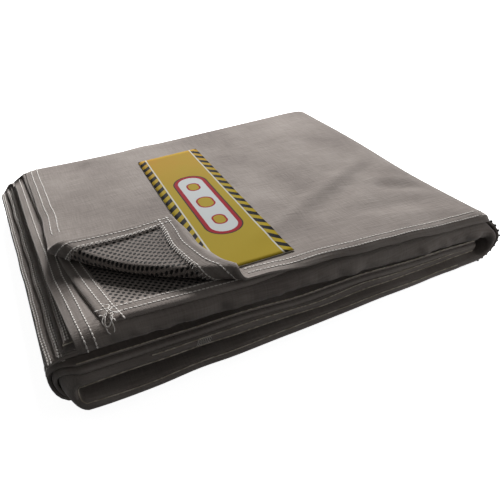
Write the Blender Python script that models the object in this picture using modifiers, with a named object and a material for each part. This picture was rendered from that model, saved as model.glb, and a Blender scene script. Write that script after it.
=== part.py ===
"""Folded canvas drop cloth with a dotted non-slip back, and the card label lying on it.

A 1.07 x 1.22 m sheet is folded twice: front to back into four rows, then side to side into four
columns, so sixteen layers lie on each other. The packet stands on z = 0, its front faces -Y, its
hemmed side faces -X and its last folds face +X. All sizes are in millimetres until the end.
"""
import math

import bmesh
import bpy

MM = 0.001

# Cloth
CLOTH = 1.2            # thickness of the canvas with its dotted back
HEM = 2.1              # thickness where the edge is turned over twice
HEM_WIDTH = 11.0
HEM_STEP = 0.9         # run of the step from the hem down to the single cloth
FACE_GAP = 0.25        # row 1 to the plane between two columns
INNER_GAP = 0.45       # row 2 to the plane between two columns
CANVAS_GAP = 0.5       # between two canvas faces inside one column
FACING_HEMS = 0.4      # between two hems that lie dots to dots

# Plan of the packet
DEPTH = 250.0          # front to far, over which the pile gets flatter
RIGHT_X = 286.0        # where the pile's right heights are read
LEFT_FOLD = (-14.0, -0.015)    # centre of the nested folds low on the left: x at y = 0, change per mm of y
RIGHT_FOLD = ((0.0, 284.0), (85.0, 281.0), (180.0, 286.0), (260.0, 286.0))  # y, x of the nested folds' centre
FAR_FOLD = ((0.0, 246.5), (45.0, 246.5), (85.0, 248.5), (155.0, 254.5), (270.0, 264.5))   # x, y of their centre
FAR_MORE = {"top": 0.0, "outer": 0.0, "second": 6.0, "inner": 3.0, "third": 6.0, "left": 5.0, "low": 5.0}

FOLD_SET = 4.0         # centre of the front fold behind its front

# Planes over and under each column, and over and under the first column of each fold
PLANES = {
    "top": (4, 3), "outer": (4, 3), "low": (1, 0), "left": (1, 0),
    "third": (2, 1), "inner": (3, 2), "second": (3, 2),
}

# Height of the planes between the columns, lowest first: front left, front right, far left, far right
PILE = (
    (0.0, 0.0, 0.0, 0.0),
    (16.5, 10.4, 10.3, 10.8),
    (32.5, 20.8, 20.6, 21.8),
    (48.0, 31.2, 31.0, 33.0),
    (60.0, 41.5, 41.5, 44.5),
)

# The planes fall away past the left fold as its round top does: from how far past, run squared over the fall
FALL_FROM = 2.0
FALL_RUN = 60.0
# At the front the upper planes fall further: where the fall starts, and the run squared over the fall
MORE_FALL = {3: (-2.0, 92.0), 4: (0.0, 86.0)}

# Soft troughs and ridges of the top: x, y, half length, half width, turn in degrees, height
CREASES = (
    (205.0, 100.0, 78.0, 13.0, 30.0, 1.7),
    (244.0, 112.0, 26.0, 12.0, 20.0, -2.0),
    (250.0, 70.0, 30.0, 13.0, 35.0, -1.3),
    (30.0, 226.0, 24.0, 9.0, -15.0, -1.6),
    (100.0, 246.0, 16.0, 16.0, 0.0, 1.3),
    (170.0, 12.0, 60.0, 16.0, 0.0, 1.4),
    (40.0, 150.0, 60.0, 30.0, 80.0, -1.0),
)

# Left end of each row in the top and in the second column: y, x
TOP_ENDS = {
    "r1": ((0.0, -14.3), (110.0, -8.4), (138.0, -6.9), (250.0, -5.0)),
    "r4": ((0.0, 5.5), (7.0, 3.6), (16.0, 1.6), (87.0, -5.5), (250.0, -8.0)),
    "r3": ((0.0, -12.5), (20.0, -13.5), (60.0, -15.8), (250.0, -15.5)),
    "r2": ((0.0, -16.5), (60.0, -18.5), (250.0, -18.5)),
}
SECOND_ENDS = {
    "r2": ((0.0, -20.5), (250.0, -20.5)),
    "r3": ((0.0, -23.5), (250.0, -23.5)),
    "r4": ((0.0, -26.0), (250.0, -26.0)),
    "r1": ((0.0, -28.5), (250.0, -28.5)),
}

# Front edge of rows 1 and 4, and front of the fold between rows 2 and 3, for each column:
# at the column's left end, then at its right end
FRONT = {
    "top": {"r1": (5.0, 3.0), "r4": (4.5, 10.0), "fold": (-0.5, 0.5)},
    "low": {"r1": (22.0, 24.0), "r4": (14.0, 0.0), "fold": (-6.5, -3.6)},
    "third": {"r1": (6.0, 5.0), "r4": (2.5, 3.5), "fold": (-1.0, 2.5)},
    "second": {"r1": (12.5, 12.5), "r4": (11.5, 12.0), "fold": (9.0, 9.5)},
}

# The top layer's corner is pulled out past the front edge: by how much, over which share of the length
CORNER_PULL = 6.2
CORNER_SHARE = 0.25

# The low left fold starts behind the columns it joins, and it is narrower at the front
LEFT_SET_BACK = 9.0
LEFT_TAPER = 0.6
LOW_ROUND = 2.0        # rounding of the lowest column's front left corner, in plan

# How far the rows of the top column hang down at the front edge
FRONT_HANG = {"r1": 3.9, "r4": 1.4, "r3": 1.5, "r2": 1.5}
BELLY = (4.4, 7.4)     # sag of the top column's lowest row over the recess, at the left and at the right
BELLY_RUN = 13.0
RING_BULGE = 2.2       # row 4 stands out of the right-hand fold at the front

# Turned-back corner of the top layer, in plan: the two ends of its fold
FLAP_LEFT = (-13.5, 111.8)
FLAP_FRONT = (82.1, 11.4)
FLAP_BOW = 17.9        # the fold bows out towards the corner
FLAP_RADII = (5.4, 2.5, 2.8)   # at the left end, the middle and the front end
FLAP_TURN = math.radians(177.5)
FLAP_CURL = 0.0003     # the turned-back part curls up again, radians per mm
FLAP_LIFT = 0.6        # height of the fold over the layer below
FLAP_RUN = 52.0        # length over which the layer rises to the fold
FLAP_CUTS = (0.0, 0.16, 0.33, 0.5, 0.67, 0.84, 1.0)

# Label card
LABEL_THICK = 0.6
LABEL_GAP = 0.35
LABEL_NEAR = ((69.5, 15.5), (127.5, 19.5))
LABEL_FAR = ((84.5, 209.0), (142.0, 214.5))
LABEL_CELLS = (6, 16)

# Middle of the packet's box in plan, and the height of its flat bottom, in the frame used above
MIDDLE = (139.33, 131.72, FACE_GAP)

# Samples in from a hemmed edge, in mm, and then along the rest: share of each column from its left
# end, or of each row from the front
HEM_INSETS = (0.0, 5.5, HEM_WIDTH)
PAST_HEM = HEM_WIDTH + HEM_STEP
TOP_ROW = ("row", "r1", 0, 0)
TOP_STEPS = (0, 0.045, 0.09, 0.15, 0.21, 0.27, 0.34, 0.42, 0.5, 0.58, 0.67, 0.76, 0.86, 0.95, 1)
SECOND_STEPS = (0, 0.06, 0.25, 0.5, 0.75, 1)
INNER_STEPS = (0, 0.25, 0.5, 0.75, 1)
R1_STEPS = (0, 0.045, 0.1, 0.15, 0.21, 0.27, 0.34, 0.44, 0.55, 0.68, 0.8, 0.92, 1)
R2_STEPS = (0, 0.036, 0.1, 0.3, 0.53, 0.77, 1)
R34_STEPS = (0, 0.1, 0.3, 0.53, 0.77, 1)


def smooth(t):
    t = min(1.0, max(0.0, t))
    return t * t * (3 - 2 * t)


def mix(a, b, t):
    return a + (b - a) * t


def world(x, y, z):
    """From millimetres in the packet's own frame to metres about the middle of its bottom."""
    return (x - MIDDLE[0]) * MM, (y - MIDDLE[1]) * MM, (z - MIDDLE[2]) * MM


def knots(table, at):
    """Value between the rows of a table of positions and values."""
    for (a, va), (b, vb) in zip(table, table[1:]):
        if at < b:
            break
    return mix(va, vb, min(1.0, max(0.0, (at - a) / (b - a))))


def left_fold(y):
    return LEFT_FOLD[0] + LEFT_FOLD[1] * y


def right_fold(y):
    return knots(RIGHT_FOLD, y)


def creases(x, y):
    """Height that the soft creases add to the top."""
    total = 0.0
    for cx, cy, along, across, turn, height in CREASES:
        c, s = math.cos(math.radians(turn)), math.sin(math.radians(turn))
        u = ((x - cx) * c + (y - cy) * s) / along
        v = (-(x - cx) * s + (y - cy) * c) / across
        total += height * math.exp(-u * u - v * v)
    return total


def plane(k, x, y):
    """Height of the plane under (k = 0) or over the columns of the pile."""
    fl, fr, bl, br = PILE[k]
    across = max(0.0, x) / RIGHT_X
    back = y / DEPTH
    height = mix(mix(fl, fr, across), mix(bl, br, across), back)
    if k > 1:
        height -= max(0.0, left_fold(y) - FALL_FROM - x) ** 2 / FALL_RUN
    if k in MORE_FALL:
        start, run = MORE_FALL[k]
        height -= max(0.0, start - x) ** 2 / run * max(0.0, 1 - back) ** 2
    return height


def droop(row, x, y):
    """How far a row of the top column hangs down near its front edge."""
    hanging = FRONT_HANG[row] * min(1.3, (max(0.0, 10.5 - y) / 7.5) ** 2)
    if row == "r1":
        hanging *= smooth((x - 95.0) / 50.0) * (1 - 0.7 * smooth((x - 240.0) / 40.0))
    return hanging


def belly(x, y):
    """How far the lowest row of the top column sags below its plane at the front."""
    return mix(*BELLY, smooth(x / RIGHT_X)) * smooth((BELLY_RUN - y) / BELLY_RUN)


def top_face(x, y):
    """Height of the top layer's canvas face."""
    return plane(4, x, y) - FACE_GAP + creases(x, y) - droop("r1", x, y)


def depth(row, thick):
    """Depth of a row's canvas face below its column's outer plane. thick is the column's height."""
    r4 = FACE_GAP + HEM + FACING_HEMS + HEM
    return {"r1": FACE_GAP, "r4": r4, "r3": r4 + CANVAS_GAP, "r2": thick - INNER_GAP}[row]


def bend(pair, turn, thick, sag):
    """Depth and run past the centre, on the half circle that joins two rows. Row 2 sags."""
    first, second = (depth(row, thick) + (sag if row == "r2" else 0.0) for row in pair)
    radius = abs(second - first) / 2
    return mix(first, second, (1 - math.cos(turn)) / 2), radius * math.sin(turn)


def hemmed(name, steps):
    """Samples of a row or column that starts with a hem: name, share, inset in mm."""
    return [(name, 0, inset) for inset in HEM_INSETS] + [(name, t, PAST_HEM) for t in steps]


def width_samples():
    """Across the width, from the front hem of row 1 to that of row 4: kind, rows, share or angle, inset."""
    found = [("row", *sample) for sample in hemmed("r1", R1_STEPS)]
    found += [("far", ("r1", "r2"), math.pi * i / 6, 0) for i in range(1, 6)]
    found += [("row", "r2", t, 0) for t in reversed(R2_STEPS)]
    found += [("front", ("r2", "r3"), math.pi * i / 6, 0) for i in range(1, 6)]
    found += [("row", "r3", t, 0) for t in R34_STEPS]
    found += [("far", ("r3", "r4"), math.pi * i / 4, 0) for i in range(1, 4)]
    found += [("row", *sample) for sample in reversed(hemmed("r4", R34_STEPS))]
    return found


def length_samples():
    """Along the length, from the left hem of the top column to that of the second: column, share or angle, inset."""
    found = hemmed("top", TOP_STEPS)
    found += [("outer", math.pi * i / 8, 0) for i in range(1, 8)]
    found += [("low", t, 0) for t in reversed(INNER_STEPS)]
    found += [("left", math.pi * i / 7, 0) for i in range(1, 7)]
    found += [("third", t, 0) for t in INNER_STEPS]
    found += [("inner", math.pi * i / 6, 0) for i in range(1, 6)]
    found += reversed(hemmed("second", SECOND_STEPS))
    return found


def front_of(column, share, name):
    """Front edge of a row, or of the fold between rows 2 and 3, anywhere along the length."""
    if column in FRONT:
        eased = share
        if name == "r4":
            eased = smooth((share - 0.25) / 0.22) if column == "top" else smooth(share / 0.35)
        front = mix(*FRONT[column][name], eased)
        if (column, name) == ("top", "r1"):
            front -= CORNER_PULL * smooth(1 - share / CORNER_SHARE)
        if (column, name) == ("low", "fold"):
            front += LOW_ROUND * max(0.0, 1 - share / 0.1) ** 2
        return front
    turn = share / math.pi
    if column == "outer":
        turned_back = smooth((turn - 0.14) / 0.3) if name == "r4" else smooth((turn - 0.04) / 0.3)
        return mix(FRONT["top"][name][1], FRONT["low"][name][1], turned_back)
    if column == "left":
        low = FRONT["low"][name][0] + (LOW_ROUND if name == "fold" else 0.0)
        return mix(low, FRONT["third"][name][0], smooth(turn)) + LEFT_SET_BACK * math.sin(share)
    return mix(FRONT["third"][name][1], FRONT["second"][name][1], smooth(turn / 0.45))


def left_end(column, sample, y):
    """Left end of the sheet in the columns that end in a hem."""
    ends = TOP_ENDS if column == "top" else SECOND_ENDS
    kind, rows, where, _ = sample
    if kind == "row":
        return knots(ends[rows], y)
    return mix(knots(ends[rows[0]], y), knots(ends[rows[1]], y), where / math.pi)


def far_centre(column, x):
    """Centre of the far folds: those under the top column reach further back on the left."""
    return knots(FAR_FOLD, x) + FAR_MORE[column] * smooth(1 - x / RIGHT_X)


def column_x(along, sample, y):
    """Plan x of a point of a column, or of the centre of a fold between columns."""
    column, share, inset = along
    if column in ("top", "second"):
        return mix(left_end(column, sample, y) + inset, right_fold(y), share)
    if column in ("low", "third"):
        return mix(left_fold(y), right_fold(y), share)
    return right_fold(y) if column in ("outer", "inner") else left_fold(y)


def place(along, across):
    """Point of the canvas face for one sample of the length and one of the width."""
    column, share, _ = along
    kind, rows, where, inset = across
    y = 0.0 if kind == "front" else 0.5 * DEPTH
    x = column_x(along, across, y)
    for _ in range(3):
        if kind == "row":
            name = "fold" if rows in ("r2", "r3") else rows
            front = front_of(column, share, name) + inset
            if name == "fold":
                front += FOLD_SET
            y = mix(front, far_centre(column, x), where)
        elif kind == "far":
            y = far_centre(column, x)
        else:
            y = front_of(column, share, "fold") + FOLD_SET
        x = column_x(along, across, y)

    def at(k):
        return plane(k, x, y)

    top_share = {"top": 1.0, "outer": max(0.0, 1 - share / (0.6 * math.pi))}.get(column, 0.0)

    def offset(upper, lower):
        """Depth in the column between two planes, and run past the fold's centre."""
        thick, sag = at(upper) - at(lower), belly(x, y) * top_share if upper == 4 else 0.0
        if kind == "row":
            return depth(rows, thick) + (sag if rows == "r2" else 0.0), 0.0
        return bend(rows, where, thick, sag)

    d, run = offset(*PLANES[column])
    y += run if kind == "far" else -run
    if kind == "row":
        hanging = droop(rows, x, y)
    else:
        hanging = mix(droop(rows[0], x, y), droop(rows[1], x, y), (1 - math.cos(where)) / 2)
    if column == "top":
        soft = creases(x, y) if rows == "r1" else 0.0
        return x, y, at(4) - d - hanging + soft
    if column == "second":
        return x, y, at(2) + d
    if column == "third":
        return x, y, at(2) - d
    if column == "low":
        return x, y, at(0) + d
    if column == "outer":
        high, low = at(4) - offset(4, 3)[0] - hanging, at(0) + offset(1, 0)[0]
    elif column == "left":
        high, low = at(2) - offset(2, 1)[0], at(0) + offset(1, 0)[0]
    else:
        high, low = at(2) + offset(3, 2)[0], at(2) - offset(2, 1)[0]
    middle, radius = (high + low) / 2, (high - low) / 2
    if column == "left":
        narrowed = radius * mix(LEFT_TAPER, 1.0, smooth((y + 6.0) / 24.0))
        return x - narrowed * math.sin(share), y, middle - radius * math.cos(share)
    side = math.cos(share) if column == "outer" else -math.cos(share)
    if column == "outer" and rows == "r4":
        x += RING_BULGE * math.sin(share) * smooth((front_of("outer", share, "r1") - 12.0 - y) / 9.0)
    return x + radius * math.sin(share), y, middle + radius * side


def flap_frame():
    """Direction along the turned-back corner's fold, towards the corner, and the fold's length."""
    dx, dy = FLAP_FRONT[0] - FLAP_LEFT[0], FLAP_FRONT[1] - FLAP_LEFT[1]
    length = math.hypot(dx, dy)
    return (dx / length, dy / length), (dy / length, -dx / length), length


def flap_shape(t):
    """Bow and radius of the corner's fold at a share of its length."""
    t = min(1.0, max(0.0, t))
    left, middle, front = FLAP_RADII
    radius = mix(left, middle, t * 2) if t < 0.5 else mix(middle, front, smooth(t * 2 - 1))
    return FLAP_BOW * 4 * t * (1 - t), radius


def to_fold(x, y):
    """Plan position as share along the corner's fold, and length past it in radii."""
    along, out, length = flap_frame()
    dx, dy = x - FLAP_LEFT[0], y - FLAP_LEFT[1]
    t = (dx * along[0] + dy * along[1]) / length
    bow, radius = flap_shape(t)
    return t, (dx * out[0] + dy * out[1] - bow) / radius


def from_fold(t, q):
    along, out, length = flap_frame()
    bow, radius = flap_shape(t)
    s = q * radius + bow
    return FLAP_LEFT[0] + t * length * along[0] + s * out[0], FLAP_LEFT[1] + t * length * along[1] + s * out[1]


def turned(x, y, z):
    """Lays the corner beyond the fold back over the layer."""
    along, out, length = flap_frame()
    t, q = to_fold(x, y)
    bow, radius = flap_shape(t)
    middle = 4 * min(1.0, max(0.0, t)) * (1 - min(1.0, max(0.0, t)))
    lift = FLAP_LIFT * (0.35 + 0.65 * middle) * smooth(1 + q * radius / FLAP_RUN) if -0.15 < t < 1.15 else 0.0
    if q <= 0:
        return x, y, z + lift
    base_x, base_y = from_fold(t, 0.0)
    base = top_face(base_x, base_y) + lift
    angle = min(q, FLAP_TURN)
    past, up = radius * math.sin(angle), radius * (1 - math.cos(angle))
    rest = (q - FLAP_TURN) * radius
    if rest > 0:
        last = FLAP_TURN - FLAP_CURL * rest
        past += (math.sin(FLAP_TURN) - math.sin(last)) / FLAP_CURL
        up += (math.cos(last) - math.cos(FLAP_TURN)) / FLAP_CURL
    # The canvas is on the inside of this fold, so it turns about a centre above the layer.
    return base_x + past * out[0], base_y + past * out[1], base + up


def hem_weight(column, share, sample, x, y):
    """1 on a hem, 0 on the single cloth, at a plan position in a row and column."""
    kind, rows = sample[:2]
    inside = PAST_HEM
    if column in ("top", "second"):
        inside = x - left_end(column, sample, y)
    if kind == "row" and rows in ("r1", "r4"):
        inside = min(inside, y - front_of(column, share, rows))
    return 1.0 - min(1.0, max(0.0, (inside - HEM_WIDTH) / HEM_STEP))


def new_collection(name):
    made = bpy.data.collections.new(name)
    bpy.context.scene.collection.children.link(made)
    return made


def material(name, colour, roughness):
    made = bpy.data.materials.new(name)
    made.use_nodes = True
    shader = made.node_tree.nodes["Principled BSDF"]
    shader.inputs["Base Color"].default_value = (*colour, 1.0)
    shader.inputs["Roughness"].default_value = roughness
    shader.inputs["Metallic"].default_value = 0.0
    return made


def cloth_sheet(collection):
    """The folded sheet: its canvas face, given thickness towards the dotted side."""
    lengths, widths = length_samples(), width_samples()
    mesh = bmesh.new()
    grid, weights, corner = [], {}, {}
    for along in lengths:
        line = []
        for across in widths:
            x, y, z = place(along, across)
            vert = mesh.verts.new((x, y, z))
            weights[vert] = hem_weight(along[0], along[1], across, x, y)
            if along[0] == "top" and across[1] == "r1":
                corner[vert] = (x, y)
            line.append(vert)
        grid.append(line)
    for one, two in zip(grid, grid[1:]):
        for a, b, c, d in zip(one, two, two[1:], one[1:]):
            mesh.faces.new((a, b, c, d))

    # The corner's fold gets its own cuts, made in plan where the fold is a straight line.
    near = [f for f in mesh.faces if all(v in corner and corner[v][0] < 128 and corner[v][1] < 138 for v in f.verts)]
    flat = set(corner)
    for vert in flat:
        t, q = to_fold(*corner[vert])
        vert.co = (t * 100.0, q * 10.0, 0.0)
    for cut in FLAP_CUTS:
        kept = set(mesh.verts)
        parts = list({v for f in near for v in f.verts}) + list({e for f in near for e in f.edges}) + near
        bmesh.ops.bisect_plane(mesh, geom=parts, dist=0.02, plane_co=(0, cut * FLAP_TURN * 10.0, 0), plane_no=(0, 1, 0))
        flat |= set(mesh.verts) - kept
        near = [f for f in mesh.faces if all(v in flat for v in f.verts) and all(-60 < v.co.x < 160 for v in f.verts)]
        near = [f for f in near if all(from_fold(v.co.x / 100, v.co.y / 10)[0] < 128.5 for v in f.verts)]
        near = [f for f in near if all(from_fold(v.co.x / 100, v.co.y / 10)[1] < 138.5 for v in f.verts)]
    bmesh.ops.triangulate(mesh, faces=[f for f in mesh.faces if len(f.verts) > 4 or all(v in flat for v in f.verts)])
    for vert in flat:
        x, y = from_fold(vert.co.x / 100.0, vert.co.y / 10.0)
        vert.co = turned(x, y, top_face(x, y))
        left = left_end("top", TOP_ROW, y)
        weights[vert] = hem_weight("top", (x - left) / (right_fold(y) - left), TOP_ROW, x, y)

    order = [weights[v] for v in mesh.verts]
    for vert in mesh.verts:
        vert.co = world(*vert.co)
    data = bpy.data.meshes.new("cloth")
    mesh.to_mesh(data)
    mesh.free()
    for poly in data.polygons:
        poly.use_smooth = True
    cloth = bpy.data.objects.new("cloth", data)
    collection.objects.link(cloth)
    group = cloth.vertex_groups.new(name="hem")
    single = CLOTH / HEM
    for i, weight in enumerate(order):
        group.add([i], single + (1 - single) * weight, "REPLACE")
    shell = cloth.modifiers.new("cloth thickness", "SOLIDIFY")
    shell.thickness = HEM * MM
    shell.offset = -1.0
    shell.use_even_offset = False
    shell.vertex_group = "hem"
    shell.thickness_vertex_group = 0.0
    return cloth


def label_card(collection):
    """The card: a thin sheet that follows the top of the cloth."""
    across, along = LABEL_CELLS
    mesh = bmesh.new()
    grid = []
    for j in range(along + 1):
        line = []
        for i in range(across + 1):
            s, t = i / across, j / along
            near = [mix(a, b, s) for a, b in zip(*LABEL_NEAR)]
            far = [mix(a, b, s) for a, b in zip(*LABEL_FAR)]
            x, y = mix(near[0], far[0], t), mix(near[1], far[1], t)
            z = turned(x, y, top_face(x, y))[2] + LABEL_GAP
            line.append(mesh.verts.new(world(x, y, z)))
        grid.append(line)
    for one, two in zip(grid, grid[1:]):
        for a, b, c, d in zip(one, two, two[1:], one[1:]):
            mesh.faces.new((d, c, b, a))
    data = bpy.data.meshes.new("label")
    mesh.to_mesh(data)
    mesh.free()
    for poly in data.polygons:
        poly.use_smooth = True
    label = bpy.data.objects.new("label", data)
    collection.objects.link(label)
    shell = label.modifiers.new("card thickness", "SOLIDIFY")
    shell.thickness = LABEL_THICK * MM
    shell.offset = 1.0
    return label


def main():
    for obj in list(bpy.data.objects):
        bpy.data.objects.remove(obj)
    collection = new_collection("folded drop cloth")
    cloth = cloth_sheet(collection)
    cloth.data.materials.append(material("grey cotton canvas", (0.32, 0.28, 0.26), 0.95))
    label = label_card(collection)
    label.data.materials.append(material("yellow coated card", (0.75, 0.52, 0.05), 0.55))


main()
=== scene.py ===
"""A folded canvas drop cloth with a dotted non-slip back, one corner turned over a printed card."""

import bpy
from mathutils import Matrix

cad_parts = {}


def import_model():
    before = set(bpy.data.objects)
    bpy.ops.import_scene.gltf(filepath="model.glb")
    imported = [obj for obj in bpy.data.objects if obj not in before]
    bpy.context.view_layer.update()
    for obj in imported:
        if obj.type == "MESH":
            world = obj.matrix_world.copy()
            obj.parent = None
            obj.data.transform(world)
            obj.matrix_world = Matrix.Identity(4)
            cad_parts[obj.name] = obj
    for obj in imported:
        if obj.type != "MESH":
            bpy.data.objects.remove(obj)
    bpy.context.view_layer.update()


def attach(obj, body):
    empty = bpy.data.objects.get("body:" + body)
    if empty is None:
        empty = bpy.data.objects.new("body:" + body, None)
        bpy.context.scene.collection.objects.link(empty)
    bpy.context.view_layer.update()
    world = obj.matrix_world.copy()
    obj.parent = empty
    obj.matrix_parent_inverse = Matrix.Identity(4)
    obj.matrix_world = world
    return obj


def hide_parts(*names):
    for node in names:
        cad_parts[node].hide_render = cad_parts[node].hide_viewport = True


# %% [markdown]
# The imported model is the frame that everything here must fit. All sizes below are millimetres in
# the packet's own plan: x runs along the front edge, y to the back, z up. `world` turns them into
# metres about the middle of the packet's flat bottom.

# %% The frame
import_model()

import math

import bmesh
import bpy
import numpy as np
from mathutils import Matrix, Vector, noise

MM = 0.001
MIDDLE = (139.33, 131.72, 0.25)


def world(x, y, z):
    return ((x - MIDDLE[0]) * MM, (y - MIDDLE[1]) * MM, (z - MIDDLE[2]) * MM)


def placed(name, data):
    """A new object at the origin, in the scene."""
    obj = bpy.data.objects.new(name, data)
    bpy.context.scene.collection.objects.link(obj)
    return obj


# %% [markdown]
# Small helpers for shaping. `smooth` is the usual ease curve. `knots` reads a value from a short
# table of positions and values with a soft cubic through them, so an edge that was measured at a
# few places bends gently and has no corners.

# %% Shaping helpers


def smooth(t):
    t = min(1.0, max(0.0, t))
    return t * t * (3 - 2 * t)


def mix(a, b, t):
    return a + (b - a) * t


def knots(table, at):
    last = len(table) - 1
    if at <= table[0][0] or last == 0:
        return table[0][1]
    if at >= table[last][0]:
        return table[last][1]
    i = max(k for k in range(last) if table[k][0] <= at)
    (a, va), (b, vb) = table[i], table[i + 1]
    before = table[max(0, i - 1)]
    after = table[min(last, i + 2)]
    span = b - a
    slope_a = (vb - before[1]) / (b - before[0]) * span
    slope_b = (after[1] - va) / (after[0] - a) * span
    t = (at - a) / span
    return (
        va * (1 + 2 * t) * (1 - t) ** 2
        + slope_a * t * (1 - t) ** 2
        + vb * t * t * (3 - 2 * t)
        + slope_b * t * t * (t - 1)
    )


def soft_noise(x, y, size, seed=0.0):
    return noise.noise(Vector((x / size, y / size, seed)))


# %% [markdown]
# The real cloth is one hemmed sheet, sold as 1.07 x 1.22 m, folded front to back into four rows and
# then side to side into four columns: sixteen layers. The same folds are laid out here as in the
# solids, much finer and with more sag and wander. Five planes lie under, between and over the four
# columns, and every layer keeps its own depth below or height above one of them.

# %% Sizes of the pile
CLOTH, HEM = 1.2, 2.1
HEM_WIDTH, HEM_STEP = 11.0, 0.9
DOT_STEP, DOT_ROW, DOT_RADIUS = 4.35, 2.08, 0.98
FACE_GAP, INNER_GAP, CANVAS_GAP, FACING_HEMS = 0.25, 0.45, 0.5, 0.4
DEPTH, RIGHT_X, FOLD_SET = 250.0, 286.0, 4.0
PILE = (
    (0.0, 0.0, 0.0, 0.0),
    (16.5, 10.4, 10.3, 10.8),
    (32.5, 20.8, 20.6, 21.8),
    (48.0, 31.2, 31.0, 33.0),
    (60.0, 41.5, 41.5, 44.5),
)
FALL_FROM, FALL_RUN = 2.0, 60.0
PLANE_WAVE, FRONT_WAVE = 1.9, 2.2
MORE_FALL = {3: (-2.0, 92.0), 4: (0.0, 86.0)}
PLANES = {
    "top": (4, 3), "outer": (4, 3), "low": (1, 0), "left": (1, 0),
    "third": (2, 1), "inner": (3, 2), "second": (3, 2),
}


def left_fold(y):
    return -14.0 - 0.015 * y


def plane(k, x, y):
    front_left, front_right, far_left, far_right = PILE[k]
    across, back = max(0.0, x) / RIGHT_X, y / DEPTH
    height = mix(mix(front_left, front_right, across), mix(far_left, far_right, across), back)
    if k > 1:
        height -= max(0.0, left_fold(y) - FALL_FROM - x) ** 2 / FALL_RUN
    if k in MORE_FALL:
        start, run = MORE_FALL[k]
        height -= max(0.0, start - x) ** 2 / run * max(0.0, 1 - back) ** 2
    if k in (1, 2, 3):
        height += PLANE_WAVE * soft_noise(x, 0.0, 50.0, 20.0 + k) * smooth(1 - y / 40.0)
    return height


def depth(row, thick):
    r4 = FACE_GAP + HEM + FACING_HEMS + HEM
    return {"r1": FACE_GAP, "r4": r4, "r3": r4 + CANVAS_GAP, "r2": thick - INNER_GAP}[row]


print("pile heights at the corners:", PILE[-1])

# %% [markdown]
# In plan the packet is not a clean rectangle: the hems end in steps on the left, the rows start at
# slightly different places at the front, and the folds at the back and right wander a little. Each
# of these edges is a short table, read with `knots`.

# %% Edges in plan
RIGHT_FOLD = ((0.0, 284.0), (85.0, 281.0), (180.0, 286.0), (260.0, 286.0))
FAR_FOLD = ((0.0, 246.5), (45.0, 246.5), (85.0, 248.5), (155.0, 254.5), (270.0, 264.5))
FAR_MORE = {
    "top": 0.0, "outer": 0.0, "second": 6.0, "inner": 3.0, "third": 6.0, "left": 5.0, "low": 5.0,
}
TOP_ENDS = {
    "r1": ((0.0, -14.3), (110.0, -8.4), (138.0, -6.9), (250.0, -5.0)),
    "r4": ((0.0, 5.5), (7.0, 3.6), (16.0, 1.6), (87.0, -5.5), (250.0, -8.0)),
    "r3": ((0.0, -12.5), (20.0, -13.5), (60.0, -15.8), (250.0, -15.8)),
    "r2": ((0.0, -11.5), (60.0, -12.0), (250.0, -12.0)),
}
SECOND_ENDS = {
    "r2": ((0.0, -17.0), (250.0, -17.0)),
    "r3": ((0.0, -19.5), (250.0, -20.0)),
    "r4": ((0.0, -22.5), (250.0, -23.0)),
    "r1": ((0.0, -28.0), (250.0, -28.5)),
}
FRONT = {
    "top": {"r1": (5.0, 3.0), "r4": (4.5, 10.0), "fold": (-0.5, 0.5)},
    "low": {"r1": (11.5, 24.0), "r4": (9.0, 0.0), "fold": (-6.5, -3.6)},
    "third": {"r1": (6.0, 5.0), "r4": (2.5, 3.5), "fold": (-1.0, 2.5)},
    "second": {"r1": (12.5, 12.5), "r4": (11.5, 12.0), "fold": (9.0, 9.5)},
}
TOP_SPAN, EDGE_WANDER, END_SHARE = 298.0, 0.9, 0.1
CORNER_PULL, CORNER_SHARE, CORNER_END = 6.2, 0.25, 0.06
WANDER_SIZE, WAVE_SIZE, END_SIZE = 24.0, 42.0, 26.0
LEFT_SET_BACK, LEFT_TAPER, LOW_ROUND = 9.0, 0.5, 2.0
LOOP_SET_BACK, LOOP_SAG, LOOP_OPEN, LOOP_RUN = 3.5, 3.0, 3.2, 170.0
DROOP_RUN, BELLY = 13.0, (4.4, 7.4)
RING_BULGE, END_WANDER = 4.2, 0.7
FRONT_HANG, FRONT_HANG_R1 = {"r4": 1.4, "r3": 1.5, "r2": 1.5}, 3.9
LEFT_HANG, LEFT_HANG_RUN = {"r1": 1.8, "r4": 0.0, "r3": 1.9, "r2": 0.0}, 14.0


def front_of(column, share, name):
    """Where a row, or the fold of rows r2 and r3, ends at the front: y at a share or angle."""
    if column in FRONT:
        eased = share
        if name == "r4":
            eased = smooth((share - 0.25) / 0.22) if column == "top" else smooth(share / 0.35)
        front = mix(*FRONT[column][name], eased)
        if (column, name) == ("top", "r1"):
            front -= CORNER_PULL * smooth(1 - share / CORNER_SHARE)
            wander = soft_noise(share * TOP_SPAN, 0.0, WANDER_SIZE, 4.0)
            front += EDGE_WANDER * wander * smooth((1 - share) / CORNER_END)
        if (column, name) == ("low", "fold"):
            front += LOW_ROUND * max(0.0, 1 - share / END_SHARE) ** 2
        if column != "top" and name == "fold":
            inner = smooth(share / END_SHARE) * smooth((1 - share) / END_SHARE)
            wave = soft_noise(share * TOP_SPAN, 0.0, WAVE_SIZE, 30.0 + len(column))
            front += FRONT_WAVE * inner * wave
        return front
    if column == "outer":
        turn = share / math.pi
        turned_back = smooth((turn - 0.2) / 0.28) if name == "r4" else smooth((turn - 0.12) / 0.25)
        return mix(FRONT["top"][name][1], FRONT["low"][name][1], turned_back)
    if column == "left":
        low = FRONT["low"][name][0] + (LOW_ROUND if name == "fold" else 0.0)
        set_back = LOOP_SET_BACK if name == "fold" else LEFT_SET_BACK
        return mix(low, FRONT["third"][name][0], smooth(share / math.pi)) + set_back * math.sin(share)
    return mix(FRONT["third"][name][1], FRONT["second"][name][1], smooth(share / math.pi / 0.45))


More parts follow.
